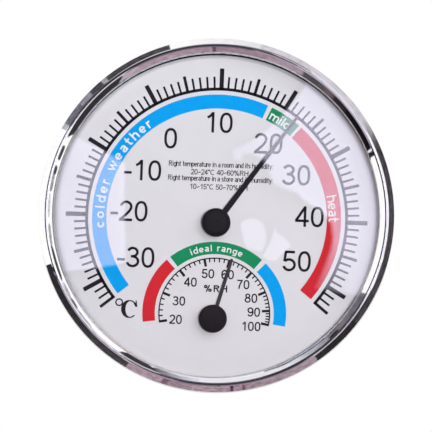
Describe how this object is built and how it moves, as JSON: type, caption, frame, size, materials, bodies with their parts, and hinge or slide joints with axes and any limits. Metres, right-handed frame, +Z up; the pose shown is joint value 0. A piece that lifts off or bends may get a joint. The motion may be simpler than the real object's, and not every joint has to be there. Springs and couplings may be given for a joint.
{
  "type": "thermo-hygrometer",
  "caption": "Round wall thermo-hygrometer: a chromed ring and flat glass over a temperature dial with a small humidity dial, each with a black needle on a spiral coil movement.",
  "frame": {"origin": "middle of the flat back, on the case's axis, in the plane of the wall", "axes": "+X to the right as the dial is read, +Y out of the back into the wall, +Z up; the dial faces -Y"},
  "size_m": [0.132, 0.024, 0.132],
  "materials": {
    "chromed_ring": "mirror polished chrome plate on spun steel sheet",
    "black_rubber": "matt black flat ring",
    "clear_glass": "clear flat glass, polished",
    "white_plastic": "white moulded plastic, fine grain",
    "dial_enamel": "off-white printed aluminium sheet, satin",
    "case_plastic": "white moulded plastic, fine spark grain",
    "cover_plastic": "white moulded plastic, fine spark grain",
    "screw_steel": "zinc plated",
    "bridge_steel": "stamped strip, zinc plated",
    "nut_steel": "nickel plated",
    "spindle_steel": "ground and polished",
    "brass": "turned, bright",
    "temperature_coil_metal": "two-metal strip, rolled",
    "humidity_coil_metal": "thin strip with a matt moisture-sensitive coat",
    "needle_paint": "satin black paint on aluminium strip",
    "black_plastic": "black, half gloss"
  },
  "bodies": {
    "housing": {"bezel_ring": "chromed_ring", "lens_gasket": "black_rubber", "lens": "clear_glass", "spacer_ring": "white_plastic", "dial_plate": "dial_enamel", "case_shell": "case_plastic", "rear_cover": "cover_plastic", "cover_screw_1": "screw_steel", "cover_screw_2": "screw_steel", "cover_screw_3": "screw_steel", "cover_screw_4": "screw_steel", "temperature_bearing_bush": "brass", "temperature_bridge": "bridge_steel", "temperature_stud_left": "bridge_steel", "temperature_stud_right": "bridge_steel", "temperature_nut_left": "nut_steel", "temperature_nut_right": "nut_steel", "humidity_bearing_bush": "brass", "humidity_bridge": "bridge_steel", "humidity_stud_left": "bridge_steel", "humidity_stud_right": "bridge_steel", "humidity_nut_left": "nut_steel", "humidity_nut_right": "nut_steel"},
    "temperature_adjuster": {"temperature_adjuster": "brass", "temperature_adjuster_clip": "bridge_steel", "temperature_coil_post": "brass", "temperature_coil": "temperature_coil_metal"},
    "temperature_pointer": {"temperature_spindle": "spindle_steel", "temperature_collet": "brass", "temperature_needle": "needle_paint", "temperature_hub_cap": "black_plastic"},
    "humidity_adjuster": {"humidity_adjuster": "brass", "humidity_adjuster_clip": "bridge_steel", "humidity_coil_post": "brass", "humidity_coil": "humidity_coil_metal"},
    "humidity_pointer": {"humidity_spindle": "spindle_steel", "humidity_collet": "brass", "humidity_needle": "needle_paint", "humidity_hub_cap": "black_plastic"}
  },
  "joints": [
    {"name": "temperature_adjust", "type": "hinge", "parent": "housing", "child": "temperature_adjuster", "pos_m": [0, -0.005, -0.0025], "axis": [0, 1, 0], "range_deg": [-10, 10]},
    {"name": "temperature_turn", "type": "hinge", "parent": "temperature_adjuster", "child": "temperature_pointer", "pos_m": [0, -0.012, -0.0025], "axis": [0, 1, 0], "range_deg": [-162.4, 91.6], "stiffness_Nm_per_rad": 0.005},
    {"name": "humidity_adjust", "type": "hinge", "parent": "housing", "child": "humidity_adjuster", "pos_m": [0, -0.005, -0.0383], "axis": [0, 1, 0], "range_deg": [-10, 10]},
    {"name": "humidity_turn", "type": "hinge", "parent": "humidity_adjuster", "child": "humidity_pointer", "pos_m": [0, -0.012, -0.0383], "axis": [0, 1, 0], "range_deg": [-109, 77.4], "stiffness_Nm_per_rad": 0.001}
  ]
}
